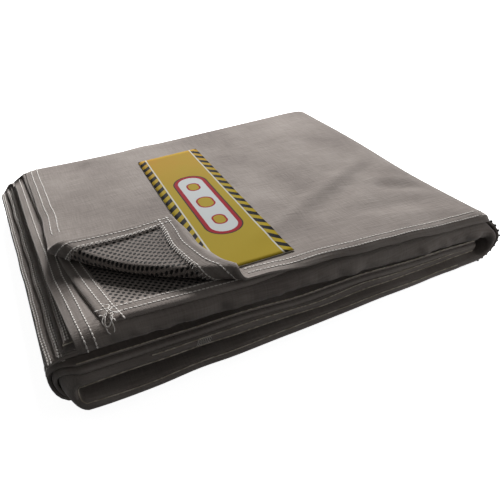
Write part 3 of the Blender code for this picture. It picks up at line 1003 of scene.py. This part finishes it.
# %% [markdown]
# At the right end the fourth row turns round the others with its dotted side out. There the dots are
# seen from the side, as a row of bumps, so they are made as real beads of vinyl.

# %% Raised dots on the outer turn


def ring_spot(angle, inset):
    """A spot on the dotted side of the fourth row where it turns round the pile."""
    here, on, back = [
        np.array(place(("outer", angle + turn, 0.0), ("row", "r4", 0.0, inset + along)))
        for turn, along in ((0.0, 0.0), (0.02, 0.0), (0.0, 0.2))
    ]
    out = unit(np.cross(on - here, back - here))
    return here + out * HEM * 0.92, out


RING_FROM, RING_TO, RING_STAGGER, RING_TURN = 0.1, 3.05, 0.12, 0.05
BEAD_LONG, BEAD_WIDE, BEAD_HIGH = 2.1, 1.9, 1.5
ring = []
for k, inset in enumerate((0.7, 2.8, 4.9, 7.0, 9.1)):
    start = RING_FROM + RING_STAGGER * (k % 2)
    count = int((RING_TO - start) / RING_TURN)
    ring.append([ring_spot(start + RING_TURN * step, inset) for step in range(count)])
ring_dots = grow(
    seam_lines("ring", ring, 0.0), bead_tree("raised dots", ring_vinyl), "ring_dots",
    Step=DOT_STEP * MM, Length=BEAD_LONG * MM, Width=BEAD_WIDE * MM, Height=BEAD_HIGH * MM,
)
print("dots on the outer turn:", len(ring_dots.data.polygons), "faces")

# %% [markdown]
# The zigzag of the overlock, a few pulled thread ends at the corner below the fold and the pale
# lines of painted highlight on the fold edges are drawn as real thread: Curve to Mesh runs a thin round
# section along each line.

# %% Overlock and loose ends
tree, group_in = start_tree("thread", Radius=0.00025)
line = add(tree, "GeometryNodeMeshToCurve", inputs={0: group_in.outputs["Geometry"]})
section = add(
    tree, "GeometryNodeCurvePrimitiveCircle", inputs={"Resolution": 5, "Radius": group_in.outputs["Radius"]}
)
round_thread = add(tree, "GeometryNodeCurveToMesh", inputs={"Curve": line, "Profile Curve": section})
soft = add(tree, "GeometryNodeSetShadeSmooth", inputs={0: round_thread})
end_tree(tree, soft, thread)


def loose_end(stops):
    """A soft line through a few stops given in mm from the corner of the fourth row."""
    table = [tuple((k, stop[axis]) for k, stop in enumerate(stops)) for axis in range(3)]
    steps = [k / 6 for k in range((len(stops) - 1) * 6 + 1)]
    corner = np.array(place(("top", 0.0, 0.0), ("row", "r4", 0.0, 0.0)))
    upward = np.array((0.0, 0.0, 1.0))
    return [(corner + np.array([knots(axis, t) for axis in table]), upward) for t in steps]


OVERLOCK_THICK, LOOSE_THICK, HIGHLIGHT_THICK = 0.00022, 0.0003, 0.00038
loose = [
    loose_end((
        (2, 4, 3.0), (0.5, 1, 3.4), (-0.5, -2.5, 1.5), (0, -4, -2),
        (1.8, -4.3, -3.5), (3.2, -4, -2), (3.2, -2.5, 1.5), (3, 2, 2.8),
    )),
    loose_end((
        (6, 8, 2.8), (3, 5, 4.0), (0, 2, 3.6), (-1.5, -1, 2.5),
        (0.5, -3.5, 1.0), (3, -2, 3.2), (5, 3, 3.2),
    )),
    loose_end(((9, 3, 2.8), (6, 2, 4.2), (3.5, 6, 4.4), (5, 10, 3.4), (2, 13, 3.0))),
]
overlocking = grow(seam_lines("overlock", overlock, 0.15), tree, "overlock_threads", Radius=OVERLOCK_THICK)
loose_threads = grow(seam_lines("loose", loose, 0.0), tree, "loose_threads", Radius=LOOSE_THICK)
# Pale threads on the fold edges: a painted highlight where the edges catch the light.
fold_highlight_threads = grow(seam_lines("painted_fold_highlights", painted_fold_highlights, 0.35), tree, "fold_highlight_threads", Radius=HIGHLIGHT_THICK)
fold_highlight_threads.data.materials.clear()
painted_edge_highlight, = bare_materials("pale fold edge, painted highlight")
fold_highlight_threads.data.materials.append(painted_edge_highlight)
print("thread faces:", len(overlocking.data.polygons), len(loose_threads.data.polygons))

# %% [markdown]
# Three small finishes. The dots are soft black vinyl, printed on and left matt. The pale lines on the
# fold edges are a painted highlight, very rough, in two pale tones that change every few millimetres.
# The sewing thread is spun polyester, whose twist gives it fine light and dark flecks.

# %% Vinyl, painted highlight and thread
VINYL = "#15120F"
fresh(ring_vinyl, {"Base Color": paint(VINYL), "Roughness": 0.5})
# The first row colours the pale lines on the fold edges, a painted highlight; the second is the sewing
# thread.
for material, scale, contrast, dark, pale, rough in (
    (painted_edge_highlight, 300.0, 0.1, "#AFA393", "#DDD3C4", 0.95),
    (thread, 1500.0, 0.5, "#DCD5CE", "#F3EEE8", 0.6),
):
    tree, shader = fresh(material, {"Roughness": rough})
    at = add(tree, "ShaderNodeTexCoord").outputs["Object"]
    flecks = add(tree, NOISE, inputs={"Vector": at, "Scale": scale})
    spread_out = add(
        tree, MAP_RANGE,
        inputs={"Value": flecks, "From Min": 0.5 - contrast, "From Max": 0.5 + contrast},
    )
    tones = add(tree, MIX, COLOUR, {"Factor": spread_out, "A": paint(dark), "B": paint(pale)})
    tree.links.new(tones.outputs["Result"], shader.inputs["Base Color"])
print("small finishes:", ring_vinyl.name, painted_edge_highlight.name, thread.name)

# %% [markdown]
# Cotton canvas is a plain weave of thick, slightly uneven yarns, washed out to a warm grey. The
# threads are about 0.6 mm apart, too fine for the picture, so they are drawn 1.2 mm apart and faint.
# Longer slubs run along both thread directions, broad blotches vary the tone, and the rubbed edges
# of the hems are a little lighter. Cotton scatters light at grazing angles, hence the sheen.

# %% Canvas materials
GROUND, GROUND_LIGHT, GROUND_DARK, RUBBED = "#8E857F", "#A39A94", "#786F6A", "#B7AFA9"
CANVAS_COAT = {
    "Roughness": 0.95, "Specular IOR Level": 0.15, "Sheen Weight": 0.12, "Sheen Roughness": 0.5,
}
# In metres, and as counts per metre: slubs about 20 mm long and 1 mm wide, blotches of 70 mm.
THREAD_STEP = 0.0012
WEFT_STRETCH, WARP_STRETCH, BLOTCHES = (45.0, 900.0, 1.0), (800.0, 60.0, 1.0), 14.0


def canvas_tones(tree, flat):
    """Base colour and bump of the weave, from the flat map in metres."""
    slubs = []
    for stretch in (WEFT_STRETCH, WARP_STRETCH):
        drawn_out = add(tree, "ShaderNodeMapping", inputs={"Vector": flat, "Scale": stretch})
        slubs.append(add(tree, NOISE, inputs={"Vector": drawn_out, "Scale": 1.0, "Detail": 3.0}))
    broad = add(tree, NOISE, inputs={"Vector": flat, "Scale": BLOTCHES, "Detail": 4.0})
    yarns = add(tree, MIX, {"data_type": "FLOAT"}, {"Factor": 0.4, "A": slubs[0], "B": slubs[1]})
    tone = add(tree, MIX, {"data_type": "FLOAT"}, {"Factor": 0.55, "A": yarns, "B": broad})
    ramp = add(tree, "ShaderNodeValToRGB", inputs={"Fac": tone})
    stops = ramp.color_ramp.elements
    stops[0].position, stops[0].color = 0.36, paint(GROUND_DARK)
    stops[1].position, stops[1].color = 0.66, paint(GROUND_LIGHT)
    stops.new(0.5).color = paint(GROUND)
    edge = add(tree, "ShaderNodeAttribute", {"attribute_name": "wear"})
    amount = add(tree, MATH, "MULTIPLY", {0: edge.outputs["Fac"], 1: 0.35})
    rubbed = add(tree, MIX, COLOUR, {"Factor": amount, "A": ramp, "B": paint(RUBBED)})
    turns = 2 * math.pi / THREAD_STEP
    scaled = add(tree, VECTOR_MATH, "SCALE", {0: flat, "Scale": turns})
    waves = add(tree, VECTOR_MATH, "SINE", {0: scaled})
    parts = add(tree, "ShaderNodeSeparateXYZ", inputs={0: waves})
    weave = add(tree, MATH, "MULTIPLY", {0: parts, 1: parts.outputs[1]})
    relief = add(tree, MATH, "MULTIPLY_ADD", {0: weave, 1: 0.12, 2: yarns})
    return rubbed.outputs["Result"], relief.outputs[0]


def dots_mask(tree, flat):
    """1 on a vinyl dot, 0 between: staggered rows counted from the flat map."""
    lattice = add(tree, VECTOR_MATH, "DIVIDE", {0: flat, 1: (DOT_STEP * MM, DOT_ROW * MM, 1.0)})
    apart = add(tree, "ShaderNodeSeparateXYZ", inputs={0: lattice})
    row = add(tree, MATH, "FLOOR", {0: apart.outputs[1]})
    half = add(tree, MATH, "MULTIPLY_ADD", {0: row, 1: 0.5, 2: apart})
    cell_u = add(tree, MATH, "FRACT", {0: half})
    cell_v = add(tree, MATH, "FRACT", {0: apart.outputs[1]})
    cell = add(tree, "ShaderNodeCombineXYZ", inputs={0: cell_u, 1: cell_v, 2: 0.5})
    centred = add(tree, VECTOR_MATH, "SUBTRACT", {0: cell, 1: (0.5, 0.5, 0.5)})
    in_mm = add(tree, VECTOR_MATH, "MULTIPLY", {0: centred, 1: (DOT_STEP, DOT_ROW, 1.0)})
    away = add(tree, VECTOR_MATH, "LENGTH", {0: in_mm})
    return add(
        tree, MAP_RANGE, {"interpolation_type": "SMOOTHSTEP"},
        {"Value": away.outputs["Value"], "From Min": DOT_RADIUS + 0.1, "From Max": DOT_RADIUS - 0.1},
    ).outputs[0]


def weave_canvas(material, dots):
    tree, shader = fresh(material, CANVAS_COAT)
    flat = add(tree, "ShaderNodeUVMap", {"uv_map": "flat"}).outputs[0]
    tone, relief = canvas_tones(tree, flat)
    bump = add(tree, "ShaderNodeBump", inputs={"Strength": 0.8, "Distance": 0.0006, "Height": relief})
    tree.links.new(bump.outputs[0], shader.inputs["Normal"])
    if not dots:
        tree.links.new(tone, shader.inputs["Base Color"])
        return
    mask = dots_mask(tree, flat)
    raised = add(tree, MATH, "MULTIPLY_ADD", {0: mask, 1: 1.2, 2: relief})
    tree.links.new(raised.outputs[0], bump.inputs["Height"])
    spotted = add(tree, MIX, COLOUR, {"Factor": mask, "A": tone, "B": paint(VINYL)})
    tree.links.new(spotted.outputs["Result"], shader.inputs["Base Color"])
    rough = add(tree, MAP_RANGE, inputs={"Value": mask, "To Min": 0.95, "To Max": 0.75})
    tree.links.new(rough.outputs[0], shader.inputs["Roughness"])


for made in (canvas, hem_canvas, hem_back):
    weave_canvas(made, False)
weave_canvas(dotted_back, True)
print("vinyl dots every", DOT_STEP, "mm")

# %% [markdown]
# The card is printed board with a dull coat, so it keeps its yellow where light grazes it. The print
# is a plain design of its own, in warning colours: a yellow ground, slanted black bars down both long
# edges, a fine white line inside them, and one white lozenge with a red outline that holds three
# paint drops. Each shape is a distance on the card's own map, and `printed` inks what lies on one
# side of it, so the edges stay sharp. The cut edge shows the fibres of the bare board.

# %% The card's print
YELLOW, AMBER, INK_BLACK, INK_BROWN = "#9A8524", "#A87826", "#1D1D20", "#2B2624"
INK_RED, INK_WHITE, INK_PALE = "#8C1422", "#B5B8B8", "#B9B8B0"
INK_SOFT = 0.00025
LOZENGE_AT, LOZENGE_WIDE, LOZENGE_LONG = 0.092, 0.0125, 0.05
BAR_STEP, BAR_WIDE, BAR_REACH, LINE_FROM, LINE_TO = 0.006, 0.003, 0.0065, 0.0067, 0.0078
DROPS = ((0.062, 0.0055), (0.092, 0.007), (0.122, 0.0055))
BELOW, ABOVE = 1, -1
tree, shader = fresh(card_print, {"Roughness": 0.7, "Specular IOR Level": 0.03})
spot = add(tree, "ShaderNodeUVMap", {"uv_map": "card"}).outputs[0]
across_along = add(tree, "ShaderNodeSeparateXYZ", inputs={0: spot})
card_s, card_t = across_along.outputs[0], across_along.outputs[1]


def printed(ink, colour, *limits):
    """The print with one more ink, where every value lies on the named side of its edge."""
    mask = None
    for value, side, edge in limits:
        step = add(
            tree, MAP_RANGE, {"interpolation_type": "SMOOTHSTEP"},
            {"Value": value, "From Min": edge + side * INK_SOFT, "From Max": edge - side * INK_SOFT},
        )
        if mask is None:
            mask = step
        else:
            mask = add(tree, MATH, "MULTIPLY", {0: mask, 1: step})
    inked = add(tree, MIX, COLOUR, {"Factor": mask, "A": ink, "B": paint(colour)})
    return inked.outputs["Result"]


def lozenge(centre, half_wide, half_long, rounding):
    """Distance outside a rounded bar on the card, in metres: negative inside it."""
    corner = (half_wide - rounding, half_long - rounding, 0.0)
    value = spot
    for operation, *other in (
        ("SUBTRACT", (*centre, 0.0)), ("ABSOLUTE",), ("SUBTRACT", corner), ("MAXIMUM", (0.0, 0.0, 0.0)),
    ):
        value = add(tree, VECTOR_MATH, operation, dict(enumerate((value, *other))))
    length = add(tree, VECTOR_MATH, "LENGTH", {0: value})
    return add(tree, MATH, "SUBTRACT", {0: length.outputs["Value"], 1: rounding})


ageing = add(tree, NOISE, inputs={"Vector": spot, "Scale": 40.0, "Detail": 3.0})
towards_far = add(tree, MAP_RANGE, inputs={"Value": card_t, "From Min": 0.11, "From Max": 0.19})
amber = add(tree, MATH, "MULTIPLY", {0: towards_far, 1: ageing})
ink = add(tree, MIX, COLOUR, {"Factor": amber, "A": paint(YELLOW), "B": paint(AMBER)}).outputs["Result"]
off_centre = add(tree, MATH, "SUBTRACT", {0: card_s, 1: CARD_WIDE / 2})
from_centre = add(tree, MATH, "ABSOLUTE", {0: off_centre})
from_edge = add(tree, MATH, "SUBTRACT", {0: CARD_WIDE / 2, 1: from_centre})
slant = add(tree, MATH, "ADD", {0: card_t, 1: from_centre})
bars = add(tree, MATH, "PINGPONG", {0: slant, 1: BAR_STEP})
ink = printed(ink, INK_BLACK, (bars, BELOW, BAR_WIDE), (from_edge, BELOW, BAR_REACH))
ink = printed(ink, INK_PALE, (from_edge, BELOW, LINE_TO), (from_edge, ABOVE, LINE_FROM))
bar_shape = lozenge((CARD_WIDE / 2, LOZENGE_AT), LOZENGE_WIDE, LOZENGE_LONG, LOZENGE_WIDE)
for colour, edge in ((INK_BROWN, 0.0022), (INK_RED, 0.0012), (INK_WHITE, -0.0018)):
    ink = printed(ink, colour, (bar_shape, BELOW, edge))
for along_card, size in DROPS:
    drop = lozenge((CARD_WIDE / 2, along_card), size, size * 1.35, size)
    for colour, edge in ((INK_RED, 0.0), (YELLOW, -0.0014)):
        ink = printed(ink, colour, (drop, BELOW, edge))
tree.links.new(ink, shader.inputs["Base Color"])
grain = add(tree, "ShaderNodeBump", inputs={"Strength": 0.15, "Distance": 0.0004, "Height": ageing})
tree.links.new(grain.outputs[0], shader.inputs["Normal"])

tree, shader = fresh(card_edge, {"Roughness": 0.85})
at = add(tree, "ShaderNodeTexCoord").outputs["Object"]
fibres = add(tree, NOISE, inputs={"Vector": at, "Scale": 900.0, "Detail": 2.0})
board = add(tree, MIX, COLOUR, {"Factor": fibres, "A": paint("#D8D2C4"), "B": paint("#B7B0A2")})
tree.links.new(board.outputs["Result"], shader.inputs["Base Color"])
print("card print drawn on a", CARD_WIDE, "x", CARD_LONG, "m map")

# %% [markdown]
# The picture was taken a little above the packet, turned 28 degrees. The floor is white and wide
# enough to fill the view, and glows a little, as an overexposed backdrop does. A soft box stands
# behind on the right, so the front of the pile falls into its own shade as in the photograph. A weak
# low fill on the right shows the wrinkles there, and a dim white surround does the rest.

# %% Camera, light and floor
camera_data = bpy.data.cameras.new("camera")
camera_data.lens = 36.1
camera_data.sensor_width = 36.0
camera_data.clip_start = 0.01
camera = placed("camera", camera_data)
yaw, pitch, roll = math.radians(28.15), math.radians(33.75), math.radians(0.09)
look = Vector((math.sin(yaw) * math.cos(pitch), math.cos(yaw) * math.cos(pitch), -math.sin(pitch)))
right = Vector((math.cos(yaw), -math.sin(yaw), 0.0))
up = right.cross(look)
right, up = right * math.cos(roll) + up * math.sin(roll), up * math.cos(roll) - right * math.sin(roll)
turn = Matrix((right, up, -look)).transposed()
camera.matrix_world = Matrix.Translation((-0.16039, -0.33079, 0.22735)) @ turn.to_4x4()
bpy.context.scene.camera = camera


def soft_box(name, power, side, spot):
    """A square soft light at the spot, turned towards the packet."""
    data = bpy.data.lights.new(name, "AREA")
    data.energy = power
    data.size = side
    lamp = placed(name, data)
    lamp.location = spot
    lamp.rotation_euler = Vector(spot).to_track_quat("Z", "Y").to_euler()


soft_box("main soft box", 35.5, 0.5, (0.42, 1.14, 0.8))
soft_box("low fill", 0.8, 0.3, (0.55, -0.42, 0.1))

surround = bpy.data.worlds.new("surround")
surround.use_nodes = True
sky = surround.node_tree
facing = add(sky, "ShaderNodeSeparateXYZ", inputs={0: add(sky, "ShaderNodeTexCoord").outputs["Generated"]})
above = add(
    sky, MAP_RANGE,
    inputs={"Value": facing.outputs[2], "From Min": -0.02, "From Max": 0.02, "To Max": 0.10},
)
sky.nodes["Background"].inputs["Color"].default_value = (1.0, 1.0, 1.0, 1.0)
sky.links.new(above.outputs[0], sky.nodes["Background"].inputs["Strength"])
bpy.context.scene.world = surround
bpy.context.scene.view_settings.view_transform = "Standard"

floor_mesh = bpy.data.meshes.new("floor")
reach = 40.0
floor_mesh.from_pydata(
    [(-reach, -reach, 0.0), (reach, -reach, 0.0), (reach, reach, 0.0), (-reach, reach, 0.0)],
    [], [(0, 1, 2, 3)],
)
floor = placed("floor", floor_mesh)
white_floor = bpy.data.materials.new("white painted floor")
fresh(white_floor, {
    "Base Color": paint("#F2F2F2"), "Roughness": 0.9,
    "Emission Color": (1.0, 1.0, 1.0, 1.0), "Emission Strength": 0.92,
})
floor.data.materials.append(white_floor)
floor.visible_diffuse = False
print("camera", [round(v, 3) for v in camera.location])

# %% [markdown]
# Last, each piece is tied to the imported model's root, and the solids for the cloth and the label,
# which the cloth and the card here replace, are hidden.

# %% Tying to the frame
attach(cloth, "root")
for sewn in (stitches, overlocking, loose_threads, fold_highlight_threads, ring_dots):
    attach(sewn, "root")
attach(card, "root")
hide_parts("cloth")
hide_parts("label")
